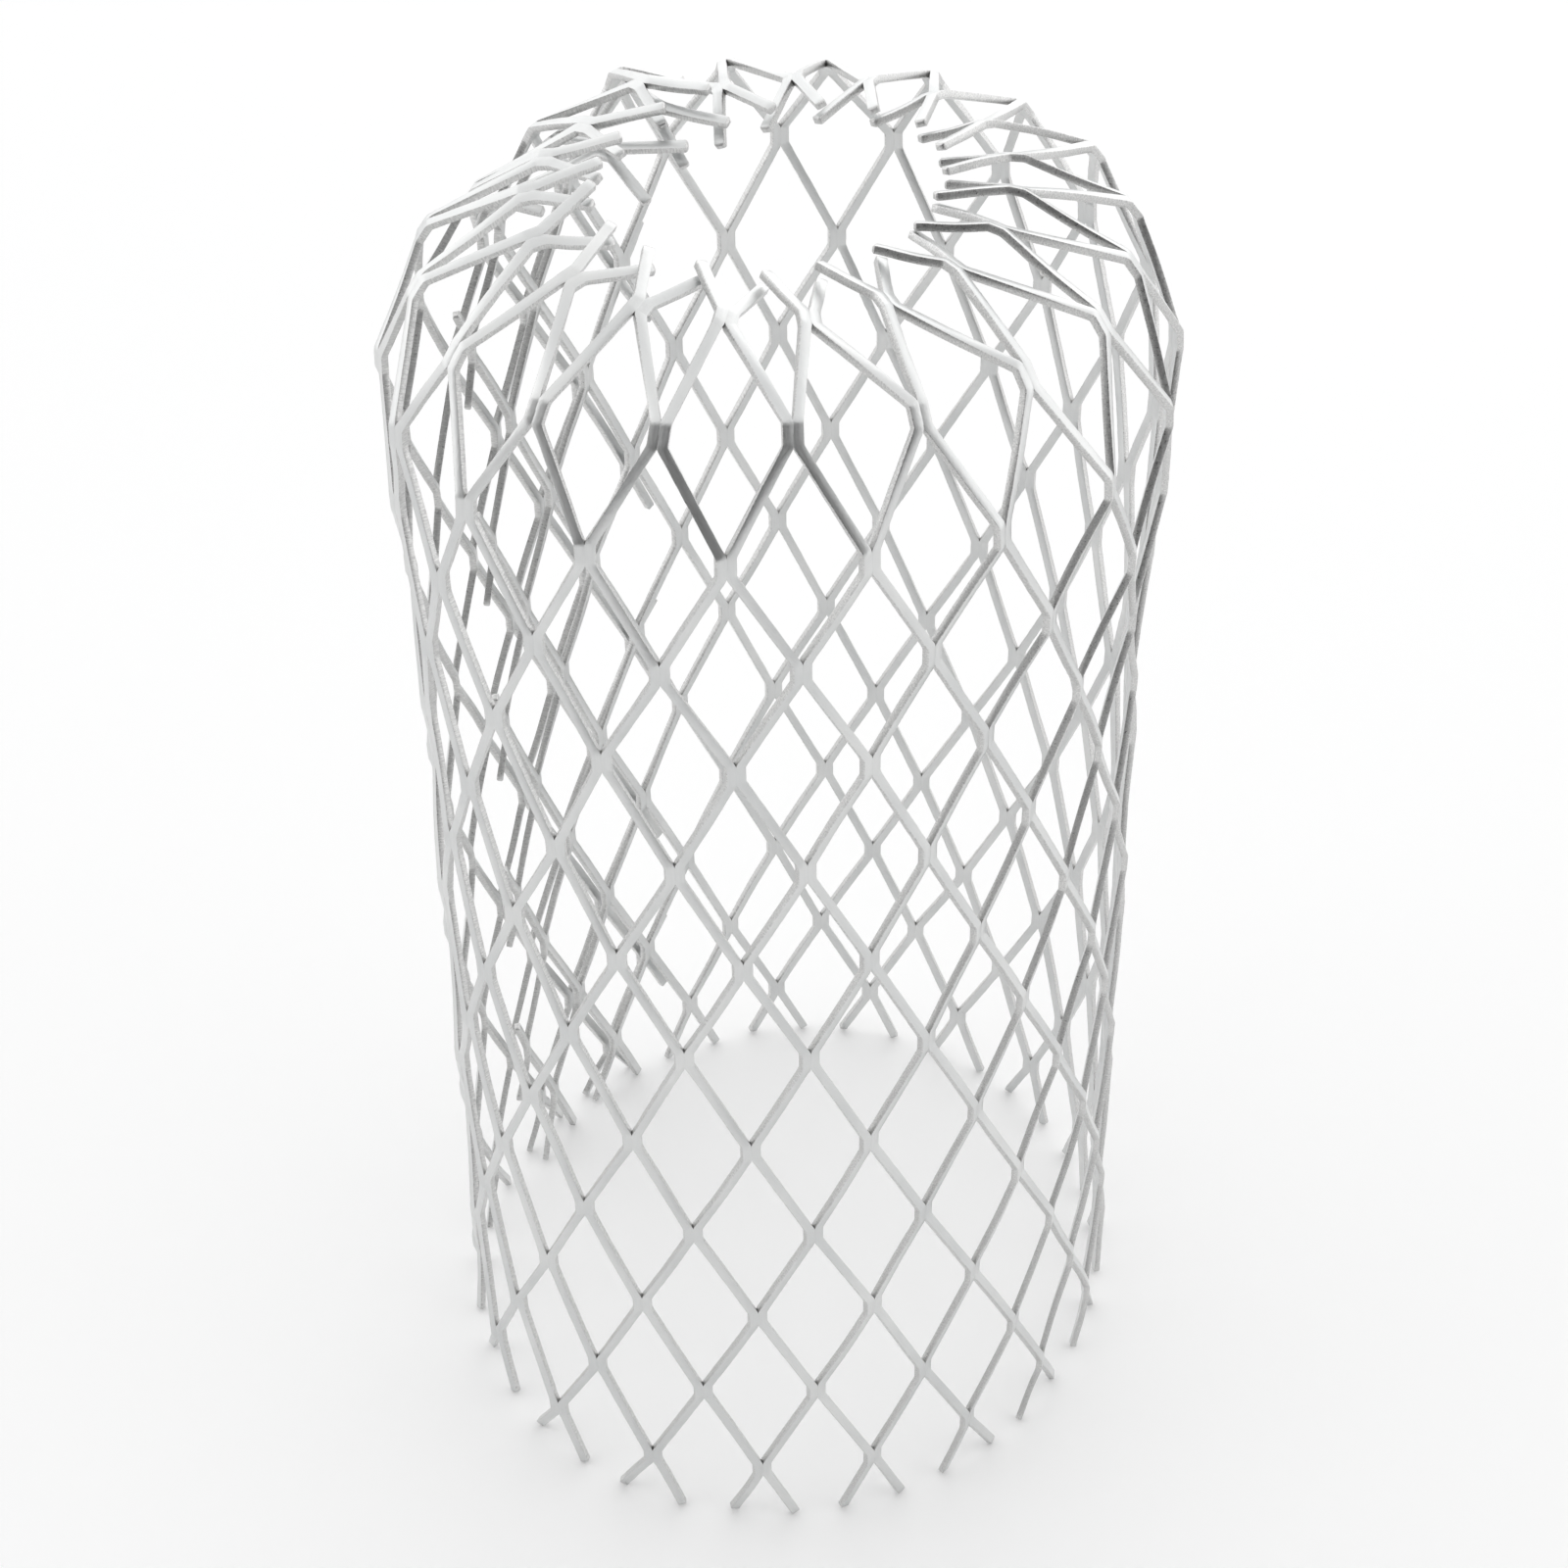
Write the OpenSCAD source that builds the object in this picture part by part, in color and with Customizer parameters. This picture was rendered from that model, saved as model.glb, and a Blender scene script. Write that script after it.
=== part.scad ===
// Expandable gutter-outlet strainer: one sheet of expanded aluminium rolled into an open-ended cage.
//
// The sheet is slit along the tube and drawn open round it, so it is made of upright strands. Each strand
// zigzags from the foot to the crown and is joined to its left neighbour at the even rows of bonds and to
// its right neighbour at the odd rows. The slits are where the sheet divides, so every strand is its own
// solid and meets its neighbours face to face at the bonds. The two side edges of the sheet were cut
// through the struts, which leaves a short chevron of two loose prongs at every odd row of the lap seam.
//
// Origin: centre of the foot, on the plane that the cut prong ends stand on. +Z points up to the crown.
// The front of the tube faces -Y, and columns of bonds are counted anticlockwise seen from above.

/* [Tube wall] */
// Mean radius of the wall at the foot, to the middle of the sheet
foot_radius = 37.1; // [34:0.1:42]
// Mean radius at the waist, the narrowest place of the wall
waist_radius = 34.9; // [32:0.1:40]
// Height of the waist above the foot
waist_height = 96; // [60:1:105]
// Mean radius at the shoulder, just below the bend
shoulder_radius = 35.4; // [33:0.1:42]
// How far the hand-rolled tube is out of round, as a share of the radius
ovality = 0.027; // [0:0.001:0.04]
// Direction of the long way across the oval, in degrees anticlockwise from the front
oval_direction = -46; // [-90:1:90]

/* [Shoulder and crown] */
// Radius of the easy bend over the shoulder
shoulder_bend = 18.5; // [16:0.5:24]
// Angle that the shoulder bend turns the wall in from upright
shoulder_angle = 36; // [30:1:45]
// Radius of the sharp fold at the last row of wall bonds
fold_bend = 6; // [4:0.5:8]
// Angle that the wall leans in from upright after the fold
fold_angle = 58; // [50:1:65]
// Radius of the flat dome that the crown follows from the fold to the hole
crown_bend = 26; // [22:1:60]
// How far the folding swings each crown bond round the axis, in degrees
crown_swing = -4.2; // [-6:0.1:6]
// Length of the free prongs round the hole in the crown
crown_prong = 5.8; // [3:0.1:7]
// How many times further apart the crown prongs spread than the closing mesh would take them
crown_spread = 2.3; // [1:0.1:2.4]
// How far the ends of crossing crown prongs ride above and dive below the crown
prong_cross = 0.9; // [0.8:0.05:1.2]

/* [Mesh] */
// Columns of diamonds in one full turn of the tube
columns = 19; // [17:1:20]
// Length of the free prongs below the first row of bonds
foot_prong = 8; // [6:0.1:9]
// Spacing of the rows of bonds near the foot, measured along the wall
foot_row_pitch = 13.35; // [11:0.05:14]
// Spacing of the rows of bonds near the fold
fold_row_pitch = 11.2; // [10:0.05:13]
// Turn of the whole mesh about the tube axis, in degrees
mesh_turn = -5; // [-9:0.1:9]
// Twist of the tube from foot to fold, in degrees
mesh_twist = -2.5; // [-4:0.1:4]
// Uneven drawing open round the tube: the most that a column is shifted, in degrees
uneven_stretch = 1.5; // [0:0.1:2]

/* [Strands] */
// Width of a strand between two slits
strand_width = 1.0; // [0.9:0.05:1.2]
// Thickness of the sheet
sheet_thickness = 0.7; // [0.5:0.05:0.8]
// Length of a bond, where two strands stay joined
bond_length = 2; // [1.6:0.1:3.6]
// Twist of the strands out of the wall, as drawing the mesh open leaves them
strand_tilt = 24; // [0:1:30]

/* [Lap seam] */
// Columns of diamonds that overlap at the seam
lap_columns = 2; // [1:1:3]
// Distance between the lapped layers, middle to middle
lap_gap = 1.8; // [1.7:0.1:3]
// How far the outer layer has slipped down over the inner one
lap_slip = 2.4; // [0:0.1:3]
// Length of the loose prongs at the seam, as a share of a row
seam_prong = 0.46; // [0.3:0.01:0.48]

/* [Hidden] */
metal = [0.80, 0.81, 0.82];
wall_rows = 11;
crown_row = wall_rows + 1;
column_angle = 360 / columns;
stretch_phase = 58;
strand_count = 2 * (columns + lap_columns);
first_strand = -15;
middle_strand = 6;
edge_rows = [for (row = [1:2:wall_rows]) row];

function two_digits(number) = number < 10 ? str("0", number) : str(number);
function strand_name(number) = str("strand_", two_digits(number));
function outer_prong_name(row) = str("outer_seam_prong_row_", two_digits(row));
function inner_prong_name(row) = str("inner_seam_prong_row_", two_digits(row));

// ---- the meridian: the curve from foot to crown that the sheet follows, by length along it ----

// Length from the foot to a row of bonds. The rows close up evenly towards the fold.
function row_length(row) =
    foot_prong + row * foot_row_pitch
    + (fold_row_pitch - foot_row_pitch) * row * row / (2 * wall_rows);

degree = PI / 180;
fold_start = row_length(wall_rows) - fold_bend * (fold_angle - shoulder_angle) * degree / 2;
crown_start = row_length(wall_rows) + fold_bend * (fold_angle - shoulder_angle) * degree / 2;
wall_height = fold_start - shoulder_bend * shoulder_angle * degree;

// Radius of the upright wall: it narrows straight to the waist, then swells to the shoulder.
function wall_radius(height) =
    height < waist_height
        ? foot_radius + (waist_radius - foot_radius) * height / waist_height
        : waist_radius + (shoulder_radius - waist_radius)
            * (1 - cos(180 * (height - waist_height) / (wall_height - waist_height))) / 2;

// How far the sheet has turned inwards from upright at a length along the meridian.
function lean(length) =
    length < wall_height ? 0
    : length < fold_start ? (length - wall_height) / shoulder_bend / degree
    : length < crown_start ? shoulder_angle + (length - fold_start) / fold_bend / degree
    : fold_angle + (length - crown_start) / crown_bend / degree;

// The lean as far as each of the three bends has turned it.
function shoulder_lean(length) = min(lean(length), shoulder_angle);
function fold_lean(length) = max(shoulder_angle, min(lean(length), fold_angle));
function crown_lean(length) = max(lean(length), fold_angle);

function meridian_radius(length) =
    wall_radius(min(length, wall_height))
    - shoulder_bend * (1 - cos(shoulder_lean(length)))
    - fold_bend * (cos(shoulder_angle) - cos(fold_lean(length)))
    - crown_bend * (cos(fold_angle) - cos(crown_lean(length)));

function meridian_height(length) =
    min(length, wall_height)
    + shoulder_bend * sin(shoulder_lean(length))
    + fold_bend * (sin(fold_lean(length)) - sin(shoulder_angle))
    + crown_bend * (sin(crown_lean(length)) - sin(fold_angle));

// ---- the mesh: columns round the tube and the way each strand runs through them ----

// Direction of a column at a length along the meridian, in degrees anticlockwise from the front.
function column_turn(column, length) =
    mesh_turn + column * column_angle
    + uneven_stretch * (sin(column * column_angle + stretch_phase) - sin(stretch_phase))
    + mesh_twist * length / row_length(wall_rows)
    + crown_swing * max(0, length - row_length(wall_rows)) / fold_row_pitch;

// 0 where a strand is joined on its left at a row, 1 where it is joined on its right.
function joined_right(strand, row) = abs((strand + row) % 2);

// Place of a strand at a row: the column of its bond, and its own middle to one side of that bond.
function bond_column(strand, row) = (strand + joined_right(strand, row)) / 2;
function bond_offset(strand, row) = strand_width * (0.5 - joined_right(strand, row));

// How far a column is from the middle of the sheet, as a cube: next to nothing away from the seam, half at
// half a turn, positive towards the outer edge of the sheet and negative towards the inner one.
function lap_share(column) = 4 * pow((middle_strand / 2 - column) / columns, 3);

// The outer layer keeps to the round of the wall and the inner one is pressed in under it.
function lap_rise(column) = 2 * lap_gap * min(0, lap_share(column));

// How far the end of a crown prong is lifted out of the crown. Prongs that lean left ride over those that
// lean right, and where the sheet laps both dive by the width of that crossing to stay under the outer layer.
function prong_lift(strand, column) =
    prong_cross * (2 * joined_right(strand, crown_row) - 1 + 4 * min(0, lap_share(column)));

// Four corners of a strand where it crosses a length of the meridian, lifted out of the sheet if need be.
function section(length, column, offset, lift = 0) =
    let (
        turn = column_turn(column, length),
        along = length == 0 ? 0 : length - lap_slip * lap_share(column),
        outwards = [
            sin(turn) * cos(lean(along)),
            -cos(turn) * cos(lean(along)),
            sin(lean(along))
        ],
        round = [cos(turn), sin(turn), 0],
        radius = meridian_radius(along) * (1 + ovality * cos(2 * (turn - oval_direction))),
        middle = [radius * sin(turn), -radius * cos(turn), meridian_height(along)]
            + (lap_rise(column) + lift) * outwards,
        across = round * cos(strand_tilt) - outwards * sin(strand_tilt),
        through = outwards * cos(strand_tilt) + round * sin(strand_tilt),
        left = middle + across * (offset - strand_width / 2),
        right = middle + across * (offset + strand_width / 2),
        half_depth = through * sheet_thickness / 2
    )
    [
        left - half_depth,
        right - half_depth,
        right + half_depth,
        left + half_depth
    ];

// A section part of the way up the strut that leaves a row, as a share of the strut.
function strut_section(strand, row, share) =
    let (
        start = row_length(row) + bond_length / 2,
        end = row_length(row + 1) - bond_length / 2
    )
    section(
        start + (end - start) * share,
        bond_column(strand, row) * (1 - share) + bond_column(strand, row + 1) * share,
        bond_offset(strand, row) * (1 - share) + bond_offset(strand, row + 1) * share
    );

// The same, given a length along the meridian instead of a share of the strut.
function strut_share(row, length) =
    (length - row_length(row) - bond_length / 2) / (row_length(row + 1) - row_length(row) - bond_length);

// The end of a crown prong. It keeps the way of the strut that crosses over at the bond below it, so it
// spreads sideways much further than the columns, which close up towards the hole.
function crown_tip(strand) =
    let (
        length = row_length(crown_row) + crown_prong,
        share = strut_share(crown_row, length),
        bond = bond_column(strand, crown_row),
        column = bond + (bond_column(strand, crown_row + 1) - bond) * share * crown_spread
    )
    section(
        length,
        column,
        bond_offset(strand, crown_row) * (1 - 2 * share),
        prong_lift(strand, column)
    );

function bond_sections(strand, row) = [
    for (side = [-1, 1])
        section(
            row_length(row) + side * bond_length / 2,
            bond_column(strand, row),
            bond_offset(strand, row)
        )
];

// Closed solid through a list of four-cornered sections. The left wall is divided along the other diagonal
// than the right one, so that the walls of two strands match exactly where they meet at a bond.
module swept(sections) {
    last = len(sections) - 1;
    walls = [
        for (i = [0:last - 1], corner = [0:3])
            let (
                a = 4 * i + corner,
                b = 4 * i + (corner + 1) % 4
            )
            each corner == 3
                ? [[a, b, a + 4], [b, b + 4, a + 4]]
                : [[a, b + 4, a + 4], [a, b, b + 4]]
    ];
    ends = [
        [0, 2, 1],
        [0, 3, 2],
        [4 * last, 4 * last + 1, 4 * last + 2],
        [4 * last, 4 * last + 2, 4 * last + 3]
    ];
    polyhedron(points = [for (corners = sections) each corners], faces = concat(walls, ends));
}

// One whole strand, from its prong end at the foot to its prong end in the crown. Its struts are straight,
// over the shoulder too, and the sheet bends at the bonds.
module strand(number) {
    strand = first_strand + number - 1;
    foot = strut_section(strand, -1, strut_share(-1, 0));
    color(metal) swept(concat(
        [foot],
        [for (row = [0:crown_row]) each bond_sections(strand, row)],
        [crown_tip(strand)]
    ));
}

// The two loose prongs and the half bond that the cut edge of the sheet leaves at one row.
module seam_prongs(strand, row) {
    color(metal) swept(concat(
        [strut_section(strand, row - 1, 1 - seam_prong)],
        bond_sections(strand, row),
        [strut_section(strand, row, seam_prong)]
    ));
}

module outer_seam_prongs(row) {
    seam_prongs(first_strand - 1, row);
}

module inner_seam_prongs(row) {
    seam_prongs(first_strand + strand_count, row);
}

for (number = [1:strand_count]) {
    strand(number);
}
for (row = edge_rows) {
    outer_seam_prongs(row);
    inner_seam_prongs(row);
}
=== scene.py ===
"""Looks of an expandable gutter outlet strainer: one sheet of expanded aluminium rolled into a cage.

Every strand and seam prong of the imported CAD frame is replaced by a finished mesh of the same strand, with
drawn bends, sheared edges and the small unevenness of a tube rolled by hand. The strands are worked out in
millimetres and built in metres, in the frame's own axes.
"""
import math
import random

import bpy
from mathutils import Matrix, Vector, noise


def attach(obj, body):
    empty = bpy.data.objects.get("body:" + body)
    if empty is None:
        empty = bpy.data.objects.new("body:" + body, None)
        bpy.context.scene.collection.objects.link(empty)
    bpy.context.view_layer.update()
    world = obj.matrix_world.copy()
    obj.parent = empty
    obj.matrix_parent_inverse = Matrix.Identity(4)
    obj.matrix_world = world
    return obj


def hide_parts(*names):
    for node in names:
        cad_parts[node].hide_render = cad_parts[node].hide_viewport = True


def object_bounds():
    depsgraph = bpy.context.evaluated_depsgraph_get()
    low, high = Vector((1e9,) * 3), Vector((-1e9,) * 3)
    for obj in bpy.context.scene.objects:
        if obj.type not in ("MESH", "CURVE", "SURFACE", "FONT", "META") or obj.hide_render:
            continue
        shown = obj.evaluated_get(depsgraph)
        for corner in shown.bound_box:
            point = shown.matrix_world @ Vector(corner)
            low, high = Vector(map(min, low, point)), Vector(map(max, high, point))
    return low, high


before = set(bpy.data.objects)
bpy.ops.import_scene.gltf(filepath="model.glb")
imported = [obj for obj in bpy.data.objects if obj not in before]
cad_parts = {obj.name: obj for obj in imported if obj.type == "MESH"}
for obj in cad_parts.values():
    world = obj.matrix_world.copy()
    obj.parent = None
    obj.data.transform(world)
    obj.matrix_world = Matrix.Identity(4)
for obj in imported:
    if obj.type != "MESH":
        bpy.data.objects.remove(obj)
cad_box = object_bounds()

MM = 0.001

# ---- driving dimensions of the tube and its mesh, in millimetres and degrees ----

FOOT_RADIUS = 37.1
WAIST_RADIUS = 34.9
WAIST_HEIGHT = 96
SHOULDER_RADIUS = 35.4
OVALITY = 0.027
OVAL_DIRECTION = -46

SHOULDER_BEND = 18.5
SHOULDER_ANGLE = 36
FOLD_BEND = 6
FOLD_ANGLE = 58
CROWN_BEND = 26
CROWN_SWING = -4.2
CROWN_PRONG = 5.8
CROWN_SPREAD = 2.3
PRONG_CROSS = 0.9
INNER_CROSSES = 4

COLUMNS = 19
LAP_COLUMNS = 2
WALL_ROWS = 11
CROWN_ROW = WALL_ROWS + 1
FOOT_PRONG = 8
FOOT_TRIM = 0.35
FOOT_ROW_PITCH = 13.35
FOLD_ROW_PITCH = 11.2
MESH_TURN = -5
MESH_TWIST = -2.5
UNEVEN_STRETCH = 1.5
STRETCH_PHASE = 58

WIDTH_AT_FOOT = 1.0
WIDTH_AT_FOLD = 0.84
WIDTH_AT_CROWN = 0.98
SHEET_THICKNESS = 0.7
BOND_LENGTH = 2
CROWN_BOND_LENGTH = 1.4
STRAND_TILT = 24
FOLD_PLATE_TILT = 8

LAP_GAP = 1.8
LAP_SLIP = 2.4
INNER_LAYER_START = 11
SEAM_PRONG = 0.46

FIRST_STRAND = -15
MIDDLE_STRAND = 6
STRAND_COUNT = 2 * (COLUMNS + LAP_COLUMNS)


def radians(degrees):
    return degrees * math.pi / 180


# ---- the meridian: the curve from foot to crown that the sheet follows ----

def row_length(row):
    """Length up the meridian to a row of bonds."""
    closing = (FOLD_ROW_PITCH - FOOT_ROW_PITCH) * row * row / (2 * WALL_ROWS)
    return FOOT_PRONG + row * FOOT_ROW_PITCH + closing


HALF_FOLD = FOLD_BEND * radians(FOLD_ANGLE - SHOULDER_ANGLE) / 2
FOLD_LENGTH = row_length(WALL_ROWS)
FOLD_START = FOLD_LENGTH - HALF_FOLD
CROWN_START = FOLD_LENGTH + HALF_FOLD
WALL_HEIGHT = FOLD_START - SHOULDER_BEND * radians(SHOULDER_ANGLE)


def wall_radius(height):
    if height < WAIST_HEIGHT:
        return FOOT_RADIUS + (WAIST_RADIUS - FOOT_RADIUS) * height / WAIST_HEIGHT
    rise = (height - WAIST_HEIGHT) / (WALL_HEIGHT - WAIST_HEIGHT)
    return WAIST_RADIUS + (SHOULDER_RADIUS - WAIST_RADIUS) * (1 - math.cos(math.pi * rise)) / 2


def lean(length):
    """How far the sheet has turned inwards from upright, in radians."""
    if length < WALL_HEIGHT:
        return 0
    if length < FOLD_START:
        return (length - WALL_HEIGHT) / SHOULDER_BEND
    if length < CROWN_START:
        return radians(SHOULDER_ANGLE) + (length - FOLD_START) / FOLD_BEND
    return radians(FOLD_ANGLE) + (length - CROWN_START) / CROWN_BEND


def meridian(length):
    """Radius and height of the sheet's middle at a length up the meridian, and its lean."""
    leaning = lean(length)
    shoulder, fold = radians(SHOULDER_ANGLE), radians(FOLD_ANGLE)
    in_shoulder = min(leaning, shoulder)
    in_fold = max(shoulder, min(leaning, fold))
    in_crown = max(leaning, fold)
    radius = (
        wall_radius(min(length, WALL_HEIGHT))
        - SHOULDER_BEND * (1 - math.cos(in_shoulder))
        - FOLD_BEND * (math.cos(shoulder) - math.cos(in_fold))
        - CROWN_BEND * (math.cos(fold) - math.cos(in_crown))
    )
    height = (
        min(length, WALL_HEIGHT)
        + SHOULDER_BEND * math.sin(in_shoulder)
        + FOLD_BEND * (math.sin(in_fold) - math.sin(shoulder))
        + CROWN_BEND * (math.sin(in_crown) - math.sin(fold))
    )
    return radius, height, leaning


# ---- the mesh of the sheet ----

def column_turn(column, length):
    """Direction of a column, in radians anticlockwise from the front."""
    angle = column * 360 / COLUMNS
    uneven = UNEVEN_STRETCH * (
        math.sin(radians(angle + STRETCH_PHASE)) - math.sin(radians(STRETCH_PHASE))
    )
    twist = MESH_TWIST * length / FOLD_LENGTH
    swing = CROWN_SWING * max(0, length - FOLD_LENGTH) / FOLD_ROW_PITCH
    return radians(MESH_TURN + angle + uneven + twist + swing)


def lap_share(column):
    """How far a column lies on the lap's outer layer or, below zero, on its inner layer.

    It is nearly nothing round the front and a half at half a turn from the sheet's middle.
    """
    return 4 * ((MIDDLE_STRAND / 2 - column) / COLUMNS) ** 3


def joined_right(strand, row):
    """1 where a strand is joined to its right neighbour at a row, and 0 where to its left one."""
    return (strand + row) % 2


def bond_column(strand, row):
    return (strand + joined_right(strand, row)) / 2


def drawn_width(length):
    """Width of a strand: the more the mesh is drawn open, towards the fold, the thinner its strands."""
    if length < FOLD_LENGTH:
        return WIDTH_AT_FOOT + (WIDTH_AT_FOLD - WIDTH_AT_FOOT) * length / FOLD_LENGTH
    past_fold = min(1, (length - FOLD_LENGTH) / FOLD_ROW_PITCH)
    return WIDTH_AT_FOLD + (WIDTH_AT_CROWN - WIDTH_AT_FOLD) * past_fold


def bond_offset(strand, row):
    return drawn_width(row_length(row)) * (0.5 - joined_right(strand, row))


class Dent:
    """A place where hands pushed the rolled tube out of its regular shape, fading away round it.

    The pushes are in millimetres. Round the lap a dent goes through both layers, unless it says otherwise.
    """

    def __init__(self, column, row, columns, rows, outwards=0, rounding=0, upwards=0, both_layers=True):
        self.column = column
        self.row = row
        self.columns = columns
        self.rows = rows
        self.push = Vector((outwards, rounding, upwards))
        self.both_layers = both_layers

    def at(self, column, row):
        beside = column - self.column
        if self.both_layers:
            beside = math.remainder(beside, COLUMNS)
        beside /= self.columns
        above = (row - self.row) / self.rows
        return self.push * math.exp(-beside * beside - above * above)


DENTS = (
    Dent(column=0.3, row=5, columns=1.1, rows=7, upwards=1.0),
    Dent(column=-1.9, row=2, columns=1.2, rows=6, upwards=-1.6),
    Dent(column=3.0, row=3, columns=1.2, rows=4, outwards=0.7, upwards=-0.9),
    Dent(column=3.3, row=9.8, columns=1.4, rows=1.6, outwards=2.0, upwards=-0.6),
    Dent(column=-1.4, row=11, columns=1.2, rows=1.0, outwards=-0.6, rounding=-0.6, upwards=-0.6),
    Dent(column=4.6, row=12.2, columns=2.0, rows=0.7, outwards=1.3, upwards=0.4),
    Dent(column=-5.6, row=11, columns=0.9, rows=1.3, outwards=-2.0, upwards=-1.6),
    Dent(column=-7.6, row=11, columns=0.9, rows=1.0, outwards=1.2),
    Dent(column=-7.4, row=11.6, columns=0.8, rows=0.8, outwards=0.6, both_layers=False),
    Dent(column=9.8, row=2, columns=1.4, rows=4, rounding=0.5, upwards=-0.9),
)


# the unevenness is drawn from this seed, so that every run gives the same tube
ROLLING_SEED = 24
WAVES_PER_COLUMN = 0.42
WAVES_PER_MM = 0.045
NOISE_LEVEL = 3.7
QUICKER = 4
QUICK_SHIFT = Vector((11, 5, 2))
UNEVENNESS = 0.3
STEADY_FOOT = 12

noise.seed_set(ROLLING_SEED)


def row_at(length):
    """The row, and part of a row, at a length up the meridian."""
    slowing = (FOLD_ROW_PITCH - FOOT_ROW_PITCH) / WALL_ROWS
    root = math.sqrt(FOOT_ROW_PITCH ** 2 + 2 * slowing * (length - FOOT_PRONG))
    return (root - FOOT_ROW_PITCH) / slowing


def hand_rolling(column, length):
    """Unevenness of the hand-rolled tube at a bond of the sheet: outwards, round and upwards, in mm.

    The inner layer of the lap is pushed about together with the outer layer that lies on it.
    """
    lapped_column = column - COLUMNS if column > INNER_LAYER_START else column
    place = Vector((lapped_column * WAVES_PER_COLUMN, length * WAVES_PER_MM, NOISE_LEVEL))
    slow = noise.noise_vector(place)
    quick = noise.noise_vector(place * QUICKER + QUICK_SHIFT)
    push = slow * UNEVENNESS + quick * UNEVENNESS
    for dent in DENTS:
        push += dent.at(column, row_at(length))
    return push * min(1, length / STEADY_FOOT)


def sheet_place(column, length):
    """Middle of the sheet in mm, with the directions out of it, round it and up it."""
    along = length if length <= FOOT_TRIM else length - LAP_SLIP * lap_share(column)
    turn = column_turn(column, length)
    radius, height, leaning = meridian(along)
    oval = 1 + OVALITY * math.cos(2 * (turn - radians(OVAL_DIRECTION)))
    level = Vector((math.sin(turn), -math.cos(turn), 0))
    outwards = level * math.cos(leaning) + Vector((0, 0, math.sin(leaning)))
    upwards = Vector((0, 0, math.cos(leaning))) - level * math.sin(leaning)
    rounding = Vector((math.cos(turn), math.sin(turn), 0))
    middle = level * (radius * oval) + Vector((0, 0, height))
    middle += outwards * (2 * LAP_GAP * min(0, lap_share(column)))
    return middle, outwards, rounding, upwards


# ---- the way of one strand over the sheet ----

BEND_BLEND = 0.25
CUT_BLEND = 0.001
BOND_FADE = 0.5
BOND_STEPS = (0, 0.5, 0.65, 0.8, 0.95, 1.1, 1.25, 1.7)
STRUT_STEP = 0.9
BOW = 0.14


def ramp(x, blend):
    """Zero below zero and x above it, with the corner rounded off over the blend on either side."""
    if x <= -blend:
        return 0
    if x >= blend:
        return x
    return (x + blend) ** 2 / (4 * blend)


class Place:
    """A place on a strand: the middle of a bond, or a cut end where half_bond is zero."""

    def __init__(self, column, length, offset, side=0, half_bond=0):
        middle, outwards, rounding, upwards = sheet_place(column, length)
        push = hand_rolling(column, length)
        middle += outwards * push.x + rounding * push.y + upwards * push.z
        tilt = radians(STRAND_TILT)
        if length == FOLD_LENGTH:
            _, outwards, rounding, upwards = sheet_place(column, FOLD_START)
            tilt = radians(FOLD_PLATE_TILT)
        across = rounding * math.cos(tilt) - outwards * math.sin(tilt)
        self.length = length
        self.facing = outwards * math.cos(tilt) + rounding * math.sin(tilt)
        self.across = across
        self.upwards = upwards
        self.middle = middle + across * offset
        self.side = side
        self.half_bond = half_bond
        self.blend = min(BEND_BLEND, half_bond / 4) if half_bond else CUT_BLEND

    def straight_part(self, distance):
        """How much of a distance from the bond's middle is still inside the bond."""
        return distance - ramp(distance - self.half_bond, self.blend)


def bond_place(strand, row):
    side = 1 if joined_right(strand, row) else -1
    half = (CROWN_BOND_LENGTH if row == CROWN_ROW else BOND_LENGTH) / 2
    return Place(bond_column(strand, row), row_length(row), bond_offset(strand, row), side, half)


def cut_place(strand, row, share):
    """A cut end part of the way up the strut that leaves a row, as a share of the strut."""
    start = row_length(row) + BOND_LENGTH / 2
    end = row_length(row + 1) - BOND_LENGTH / 2
    column = bond_column(strand, row) * (1 - share) + bond_column(strand, row + 1) * share
    offset = bond_offset(strand, row) * (1 - share) + bond_offset(strand, row + 1) * share
    return Place(column, start + (end - start) * share, offset)


def crown_tip(strand):
    """The end of a crown prong, spread sideways and lifted over or pushed under the one that it crosses.

    The prongs of the lap's inner layer are pushed further in, to pass under the outer layer.
    """
    length = row_length(CROWN_ROW) + CROWN_PRONG
    share = share_at(CROWN_ROW, length)
    bond = bond_column(strand, CROWN_ROW)
    column = bond + (bond_column(strand, CROWN_ROW + 1) - bond) * share * CROWN_SPREAD
    tip = Place(column, length, bond_offset(strand, CROWN_ROW) * (1 - 2 * share))
    over = 2 * joined_right(strand, CROWN_ROW) - 1
    tip.middle += tip.facing * PRONG_CROSS * (over + INNER_CROSSES * min(0, lap_share(column)))
    return tip


def share_at(row, length):
    """The share of the strut that leaves a row at which it reaches a length up the meridian."""
    strut = row_length(row + 1) - row_length(row) - BOND_LENGTH
    return (length - row_length(row) - BOND_LENGTH / 2) / strut


class Ring:
    """One cross-section of a strand: its middle, its face's outward direction and its bonded side."""

    def __init__(self, middle, facing, width, bonded):
        self.middle = middle
        self.facing = facing
        self.width = width
        self.bonded = bonded


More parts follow.
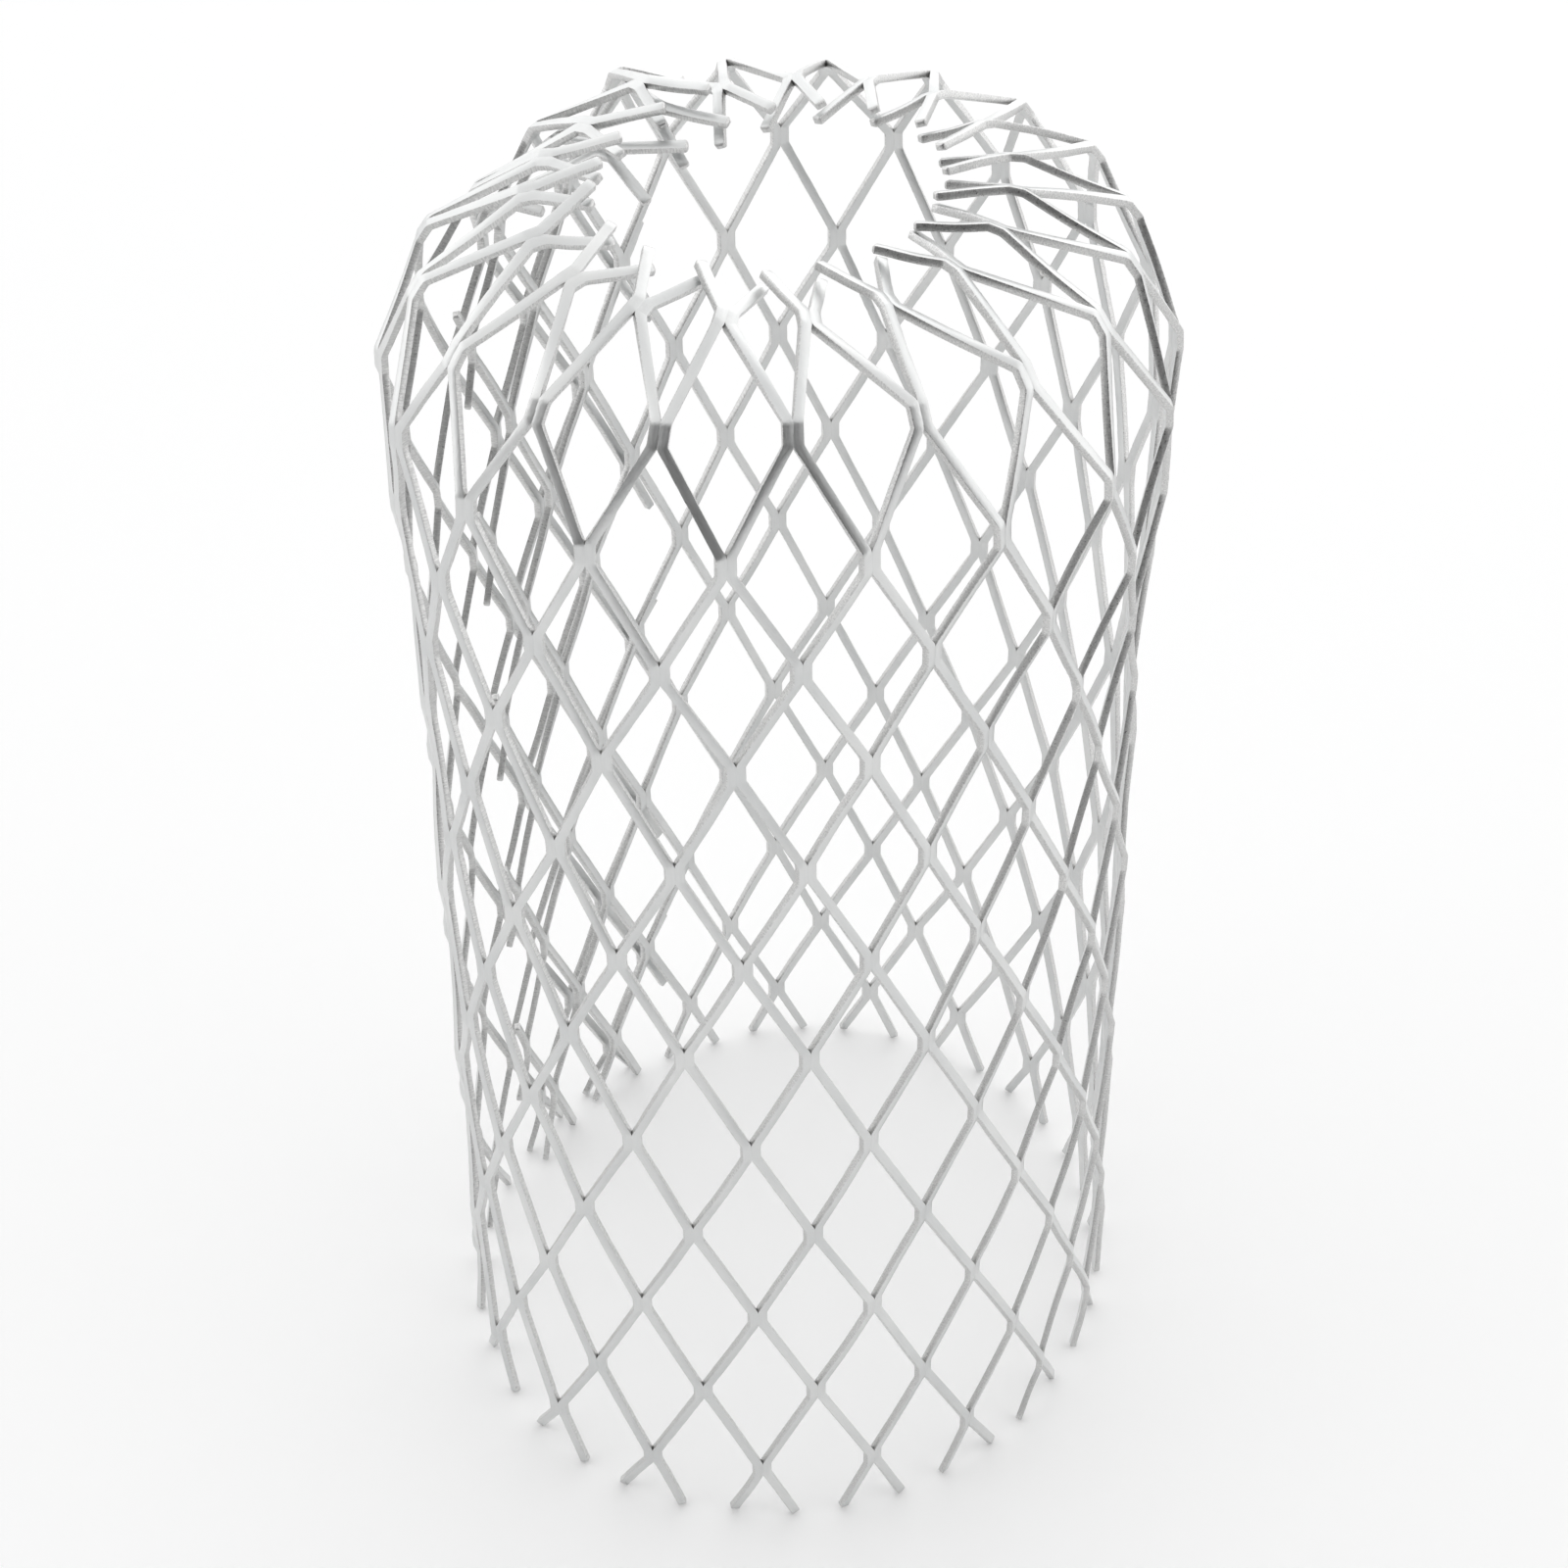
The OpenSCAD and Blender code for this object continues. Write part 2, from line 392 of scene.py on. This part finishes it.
def ring_between(lower, upper, distance, bow):
    """The ring at a distance up the strand from the lower place: straight between the two bonds."""
    pitch = upper.length - lower.length
    left = pitch - distance
    strut = pitch - lower.half_bond - upper.half_bond
    gone = ramp(distance - lower.half_bond, lower.blend)
    over = distance - (pitch - upper.half_bond)
    share = (gone - ramp(over, upper.blend)) / strut
    start = lower.middle + lower.upwards * lower.half_bond
    end = upper.middle - upper.upwards * upper.half_bond
    middle = start + (end - start) * share
    middle -= lower.upwards * (lower.half_bond - lower.straight_part(distance))
    middle += upper.upwards * (upper.half_bond - upper.straight_part(left))
    facing = (lower.facing * (1 - share) + upper.facing * share).normalized()
    middle += facing * bow * math.sin(math.pi * distance / pitch) ** 2
    nearest = lower if distance < left else upper
    from_bond = min(distance, left)
    held = 0
    if nearest.half_bond:
        held = 1 - min(1, max(0, (from_bond - nearest.half_bond) / BOND_FADE))
    width = drawn_width(lower.length + distance)
    return Ring(middle, facing, width, nearest.side * held)


def ring_distances(pitch):
    """Distances up a strut at which the strand has a ring, close together near the bonds."""
    near = BOND_STEPS[-1]
    count = max(1, round((pitch - 2 * near) / STRUT_STEP))
    middle = [near + (pitch - 2 * near) * i / count for i in range(1, count)]
    return list(BOND_STEPS) + middle + [pitch - step for step in reversed(BOND_STEPS)]


def rings_through(places, seed):
    """Rings of a strand through its places in turn, each strut with a slight bow of its own."""
    chance = random.Random(seed)
    rings = []
    for lower, upper in zip(places, places[1:]):
        bow = chance.uniform(-BOW, BOW)
        distances = ring_distances(upper.length - lower.length)
        if rings:
            distances = distances[1:]
        rings += [ring_between(lower, upper, distance, bow) for distance in distances]
    return rings


# ---- the cross-section ----

ROLLED = 0
SHEARED = 1
ROLLOVER = 0.09
BURR = 0.025
NICK = 0.06
NICKS_PER_MM = 0.9
NICK_SEEDS = 500
BOND_CLOSING = 0.05
BONDED_ROUNDING = 0.003
SHARP_ANGLE = 32
END_ROUNDING = ((0.12, 0.86), (0.22, 0.55))
CORNER_STEPS = 3


def outline(width, bonded):
    """Points round a strand as (across, out), with the material of the side that follows each point.

    The punch rolls two opposite corners over and leaves the other two sharp. A bonded side is square.
    """
    half, deep = width / 2, SHEET_THICKNESS / 2
    points = []
    corners = (
        (-1, -1, BURR, ROLLED),
        (1, -1, ROLLOVER, SHEARED),
        (1, 1, BURR, ROLLED),
        (-1, 1, ROLLOVER, SHEARED),
    )
    for index, (side, out, rounding, following) in enumerate(corners):
        if bonded * side > 0:
            rounding = rounding * (1 - min(1, abs(bonded))) + BONDED_ROUNDING
        begin = math.pi + index * math.pi / 2
        for step in range(CORNER_STEPS):
            angle = begin + (math.pi / 2) * step / (CORNER_STEPS - 1)
            across = side * (half - rounding) + rounding * math.cos(angle)
            outward = out * (deep - rounding) + rounding * math.sin(angle)
            material = following if step == CORNER_STEPS - 1 else SHEARED
            points.append((across, outward, material))
    return points


def frames_along(rings):
    """The across and out directions of each ring, square to the strand's own way."""
    result = []
    last = len(rings) - 1
    for index, ring in enumerate(rings):
        before = rings[max(0, index - 1)].middle
        after = rings[min(last, index + 1)].middle
        way = (after - before).normalized()
        out = (ring.facing - way * ring.facing.dot(way)).normalized()
        result.append((way.cross(out), out, way))
    return result


def strand_mesh(name, rings, seed):
    """Mesh of one strand through its rings, with rounded ends and a map of places along and round it."""
    chance = random.Random(seed)
    directions = frames_along(rings)
    vertices, faces, materials, places = [], [], [], []
    travelled = 0
    round_count = 4 * CORNER_STEPS
    nick_seed = chance.uniform(0, NICK_SEEDS)
    for index, ring in enumerate(rings):
        across_way, out_way, way = directions[index]
        if index:
            travelled += (ring.middle - rings[index - 1].middle).length
        held = abs(ring.bonded)
        nick = NICK * noise.noise(Vector((travelled * NICKS_PER_MM, nick_seed, 0)))
        width = ring.width + nick * (1 - held) + BOND_CLOSING * held
        gone_round = 0
        previous = None
        for across, out, material in outline(width, ring.bonded):
            vertices.append((ring.middle + across_way * across + out_way * out) * MM)
            here = Vector((across, out))
            if previous is not None:
                gone_round += (here - previous).length
            previous = here
            places.append((gone_round, travelled))
            if index == 0:
                materials.append(material)
    for index in range(len(rings) - 1):
        for corner in range(round_count):
            a = index * round_count + corner
            b = index * round_count + (corner + 1) % round_count
            faces.append((a, b, b + round_count, a + round_count))
    face_materials = materials * (len(rings) - 1)
    for end, sign in ((0, -1), (len(rings) - 1, 1)):
        cap_end(rings[end], directions[end], sign, end * round_count, round_count, vertices, faces, places)
    face_materials += [SHEARED] * (len(faces) - len(face_materials))
    return finished_mesh(name, vertices, faces, face_materials, places)


def cap_end(ring, directions, sign, first, count, vertices, faces, places):
    """Rounds off one end of a strand with two shrinking rings and a closing face."""
    across_way, out_way, way = directions
    rim = [first + i for i in range(count)]
    for advance, shrink in END_ROUNDING:
        start = len(vertices)
        for across, out, _ in outline(ring.width, 0):
            place = ring.middle + across_way * across * shrink + out_way * out * shrink
            vertices.append((place + way * sign * advance) * MM)
            places.append((across, advance))
        fresh = [start + i for i in range(count)]
        for i in range(count):
            j = (i + 1) % count
            quad = (rim[i], rim[j], fresh[j], fresh[i])
            faces.append(quad if sign > 0 else tuple(reversed(quad)))
        rim = fresh
    faces.append(tuple(rim) if sign > 0 else tuple(reversed(rim)))


def finished_mesh(name, vertices, faces, face_materials, places):
    mesh = bpy.data.meshes.new(name)
    mesh.from_pydata(vertices, [], faces)
    mesh.materials.append(aluminium_face)
    mesh.materials.append(aluminium_sheared)
    mesh.polygons.foreach_set("material_index", face_materials)
    layer = mesh.uv_layers.new(name="strand")
    for loop in mesh.loops:
        layer.data[loop.index].uv = places[loop.vertex_index]
    mesh.polygons.foreach_set("use_smooth", [True] * len(faces))
    mesh.update()
    made = bpy.data.objects.new(name, mesh)
    bpy.context.collection.objects.link(made)
    mesh.set_sharp_from_angle(angle=radians(SHARP_ANGLE))
    return made


# ---- materials ----

NOISE_LOW = 0.3
NOISE_HIGH = 0.7


def new_material(name):
    material = bpy.data.materials.new(name)
    material.use_nodes = True
    tree = material.node_tree
    return material, tree, tree.nodes["Principled BSDF"]


def add_node(tree, kind, **settings):
    node = tree.nodes.new(kind)
    for key, value in settings.items():
        if hasattr(node, key) and key not in node.inputs:
            setattr(node, key, value)
        else:
            node.inputs[key].default_value = value
    return node


def noise_on(tree, source, scale, detail, stretch=(1, 1, 1)):
    """Noise read from a place, stretched by different amounts along its axes."""
    mapping = add_node(tree, "ShaderNodeMapping")
    mapping.inputs["Scale"].default_value = stretch
    texture = add_node(tree, "ShaderNodeTexNoise", Scale=scale, Detail=detail)
    tree.links.new(source, mapping.inputs["Vector"])
    tree.links.new(mapping.outputs["Vector"], texture.inputs["Vector"])
    return texture.outputs["Fac"]


def colour_between(tree, factor, low, high):
    """One colour where a noise is low, passing into another where it is high."""
    node = add_node(tree, "ShaderNodeValToRGB")
    stops = ((NOISE_LOW, low), (NOISE_HIGH, high))
    for element, (position, colour) in zip(node.color_ramp.elements, stops):
        element.position = position
        element.color = (*colour, 1)
    tree.links.new(factor, node.inputs["Fac"])
    return node.outputs["Color"]


def value_between(tree, factor, low, high):
    """One value where a noise is low, passing into another where it is high."""
    node = add_node(tree, "ShaderNodeMapRange")
    node.inputs["From Min"].default_value = NOISE_LOW
    node.inputs["From Max"].default_value = NOISE_HIGH
    node.inputs["To Min"].default_value = low
    node.inputs["To Max"].default_value = high
    tree.links.new(factor, node.inputs["Value"])
    return node.outputs["Result"]


def bumped(tree, shader, height, distance, strength):
    bump = add_node(tree, "ShaderNodeBump", Strength=strength, Distance=distance)
    tree.links.new(height, bump.inputs["Height"])
    tree.links.new(bump.outputs["Normal"], shader.inputs["Normal"])


def make_aluminium_face():
    """Mill finish of the rolled sheet: fine streaks along the strand, dull patches and a light grain."""
    material, tree, shader = new_material("aluminium_face")
    strand = add_node(tree, "ShaderNodeUVMap", uv_map="strand").outputs["UV"]
    place = add_node(tree, "ShaderNodeTexCoord").outputs["Object"]
    patches = noise_on(tree, place, scale=90, detail=3)
    streaks = noise_on(tree, strand, scale=1.0, detail=4, stretch=(9, 0.5, 1))
    grain = noise_on(tree, place, scale=2600, detail=3)
    colour = colour_between(tree, patches, low=(0.64, 0.65, 0.65), high=(0.74, 0.745, 0.74))
    tree.links.new(colour, shader.inputs["Base Color"])
    shader.inputs["Metallic"].default_value = 1
    roughness = value_between(tree, streaks, low=0.30, high=0.46)
    tree.links.new(roughness, shader.inputs["Roughness"])
    bumped(tree, shader, grain, distance=0.04 * MM, strength=0.5)
    return material


def make_aluminium_sheared():
    """The slit edges: torn and burnished metal, duller and grainier than the rolled face."""
    material, tree, shader = new_material("aluminium_sheared")
    strand = add_node(tree, "ShaderNodeUVMap", uv_map="strand").outputs["UV"]
    place = add_node(tree, "ShaderNodeTexCoord").outputs["Object"]
    tearing = noise_on(tree, strand, scale=1.0, detail=4, stretch=(1.5, 7, 1))
    grain = noise_on(tree, place, scale=3400, detail=4)
    colour = colour_between(tree, tearing, low=(0.50, 0.50, 0.50), high=(0.75, 0.75, 0.74))
    tree.links.new(colour, shader.inputs["Base Color"])
    shader.inputs["Metallic"].default_value = 1
    roughness = value_between(tree, grain, low=0.24, high=0.44)
    tree.links.new(roughness, shader.inputs["Roughness"])
    bumped(tree, shader, tearing, distance=0.05 * MM, strength=0.5)
    return material


aluminium_face = make_aluminium_face()
aluminium_sheared = make_aluminium_sheared()


# ---- the pieces ----

FOOT_SHIFT = (0.35, 0.25)
TIP_SHIFT = (0.5, 0.25)
SEAM_SHIFT = (0.3, 0.3)
TUCKED_IN = 2.6
SEAM_SHAPE_SEED = 200
SEAM_BEND_SEED = 300


def place_on_frame(piece, node):
    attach(piece, "root")
    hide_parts(node)


def bend_end(place, chance, shift):
    """Knocks a loose end a little out of line, by up to the shift sideways and out of the sheet."""
    sideways, out = shift
    place.middle += place.across * chance.uniform(-sideways, sideways)
    place.middle += place.facing * chance.uniform(-out, out)


def make_strand(number):
    """One strand from its foot prong, through all its bonds, to its prong at the crown's hole."""
    strand = FIRST_STRAND + number - 1
    name = f"strand_{number:02d}"
    chance = random.Random(number)
    foot = cut_place(strand, -1, share_at(-1, FOOT_TRIM))
    tip = crown_tip(strand)
    bend_end(foot, chance, FOOT_SHIFT)
    bend_end(tip, chance, TIP_SHIFT)
    bonds = [bond_place(strand, row) for row in range(CROWN_ROW + 1)]
    rings = rings_through([foot] + bonds + [tip], number)
    place_on_frame(strand_mesh("drawn_" + name, rings, number), name)


def make_seam_prongs(side, strand, row):
    """A chevron of two loose prongs at a cut side edge. The topmost prong is tucked in under the crown."""
    name = f"{side}_seam_prong_row_{row:02d}"
    chance = random.Random(SEAM_BEND_SEED + row)
    lower = cut_place(strand, row - 1, 1 - SEAM_PRONG)
    upper = cut_place(strand, row, SEAM_PRONG)
    bend_end(lower, chance, SEAM_SHIFT)
    bend_end(upper, chance, SEAM_SHIFT)
    if row == WALL_ROWS:
        upper.middle -= upper.facing * TUCKED_IN
    seed = SEAM_SHAPE_SEED + row
    rings = rings_through([lower, bond_place(strand, row), upper], seed)
    place_on_frame(strand_mesh("cut_" + name, rings, seed), name)


for number in range(1, STRAND_COUNT + 1):
    make_strand(number)
for edge_row in range(1, WALL_ROWS + 1, 2):
    make_seam_prongs("outer", FIRST_STRAND - 1, edge_row)
    make_seam_prongs("inner", FIRST_STRAND + STRAND_COUNT, edge_row)


# ---- floor, light and camera ----

FLOOR_SIZE = 2.2
FLOOR_CLEARANCE = 0.1 * MM
FLOOR_TONE = 0.97
FLOOR_ROUGHNESS = 0.7


def grey(tone):
    return (tone, tone, tone, 1)


def make_floor():
    mesh = bpy.data.meshes.new("floor")
    half = FLOOR_SIZE / 2
    corners = [(-half, -half, 0), (half, -half, 0), (half, half, 0), (-half, half, 0)]
    mesh.from_pydata(corners, [], [(0, 1, 2, 3)])
    floor = bpy.data.objects.new("floor", mesh)
    bpy.context.collection.objects.link(floor)
    floor.location.z = cad_box[0].z - FLOOR_CLEARANCE
    material, tree, shader = new_material("pale_floor")
    shader.inputs["Base Color"].default_value = grey(FLOOR_TONE)
    shader.inputs["Roughness"].default_value = FLOOR_ROUGHNESS
    mesh.materials.append(material)


def patch_in(tree, direction, inner, outer):
    """A soft round patch of the surroundings: 1 within the inner angle, fading to 0 at the outer."""
    where = add_node(tree, "ShaderNodeTexCoord").outputs["Generated"]
    dot = add_node(tree, "ShaderNodeVectorMath", operation="DOT_PRODUCT")
    tree.links.new(where, dot.inputs[0])
    dot.inputs[1].default_value = direction
    fade = add_node(tree, "ShaderNodeMapRange", interpolation_type="SMOOTHSTEP")
    fade.inputs["From Min"].default_value = math.cos(radians(outer))
    fade.inputs["From Max"].default_value = math.cos(radians(inner))
    tree.links.new(dot.outputs["Value"], fade.inputs["Value"])
    return fade.outputs["Result"]


def direction_of(azimuth, elevation):
    """Unit direction, with the azimuth anticlockwise from the front (-Y) seen from above."""
    a, e = radians(azimuth), radians(elevation)
    return (math.sin(a) * math.cos(e), -math.cos(a) * math.cos(e), math.sin(e))


TENT_TONE = 1.42

# azimuth and elevation of each patch, the angles where it is full and gone, and its tone
PATCHES = (
    (0, 84, 30, 56, 0.96),
    (-40, 18, 20, 38, 0.28),
    (44, 20, 14, 32, 0.42),
    (4, 18, 26, 42, 0.11),
)


def make_surroundings():
    """A white light tent, a little duller overhead and open at the front to the dark room of the camera."""
    world = bpy.data.worlds.new("light_tent")
    bpy.context.scene.world = world
    world.use_nodes = True
    tree = world.node_tree
    background = tree.nodes["Background"]
    factor_input, below_input, above_input, colour_output = 0, 6, 7, 2
    colour = None
    for azimuth, elevation, inner, outer, tone in PATCHES:
        mix = add_node(tree, "ShaderNodeMix", data_type="RGBA")
        patch = patch_in(tree, direction_of(azimuth, elevation), inner, outer)
        tree.links.new(patch, mix.inputs[factor_input])
        if colour is None:
            mix.inputs[below_input].default_value = grey(TENT_TONE)
        else:
            tree.links.new(colour, mix.inputs[below_input])
        mix.inputs[above_input].default_value = grey(tone)
        colour = mix.outputs[colour_output]
    tree.links.new(colour, background.inputs["Color"])
    background.inputs["Strength"].default_value = 1


SOFTBOX_DISTANCE = 1.2
SOFTBOX_SIZE = 0.9
SOFTBOX_AIM_HEIGHT = 80 * MM


def make_softbox(name, azimuth, elevation, power):
    light = bpy.data.lights.new(name, "AREA")
    light.shape = "SQUARE"
    light.size = SOFTBOX_SIZE
    light.energy = power
    lamp = bpy.data.objects.new(name, light)
    bpy.context.collection.objects.link(lamp)
    direction = Vector(direction_of(azimuth, elevation))
    lamp.location = direction * SOFTBOX_DISTANCE + Vector((0, 0, SOFTBOX_AIM_HEIGHT))
    lamp.rotation_mode = "QUATERNION"
    lamp.rotation_quaternion = direction.to_track_quat("Z", "Y")


# the camera's lens and sensor are in millimetres, and its elevation and roll in degrees
FOCAL_LENGTH = 64.4
SENSOR_WIDTH = 36
CAMERA_ELEVATION = 42.26
CAMERA_ROLL = 0.735
CAMERA_DISTANCE = 334.4 * MM
AIM_HEIGHT = 11 * MM
CAMERA_TO_RIGHT = -0.58 * MM
CAMERA_TO_TOP = 48.42 * MM
NEAREST = 0.01
FARTHEST = 20


def make_camera():
    """Close view from above the front: the perspective makes the open foot look narrower than the crown."""
    e, r = radians(CAMERA_ELEVATION), radians(CAMERA_ROLL)
    right = Vector((math.cos(r), -math.sin(r) * math.sin(e), -math.sin(r) * math.cos(e)))
    up = Vector((math.sin(r), math.cos(r) * math.sin(e), math.cos(r) * math.cos(e)))
    forward = Vector((0, math.cos(e), -math.sin(e)))
    data = bpy.data.cameras.new("camera")
    data.lens = FOCAL_LENGTH
    data.sensor_width = SENSOR_WIDTH
    data.clip_start = NEAREST
    data.clip_end = FARTHEST
    camera = bpy.data.objects.new("camera", data)
    bpy.context.collection.objects.link(camera)
    place = Vector((0, 0, AIM_HEIGHT)) - forward * CAMERA_DISTANCE
    place += right * CAMERA_TO_RIGHT + up * CAMERA_TO_TOP
    turn = Matrix((right, up, -forward)).transposed()
    camera.matrix_world = Matrix.Translation(place) @ turn.to_4x4()
    bpy.context.scene.camera = camera


make_floor()
make_surroundings()
make_softbox("key_softbox", azimuth=-50, elevation=60, power=0.3)
make_softbox("back_softbox", azimuth=165, elevation=26, power=0.8)
make_camera()

scene = bpy.context.scene
scene.view_settings.view_transform = "Standard"
scene.view_settings.look = "None"
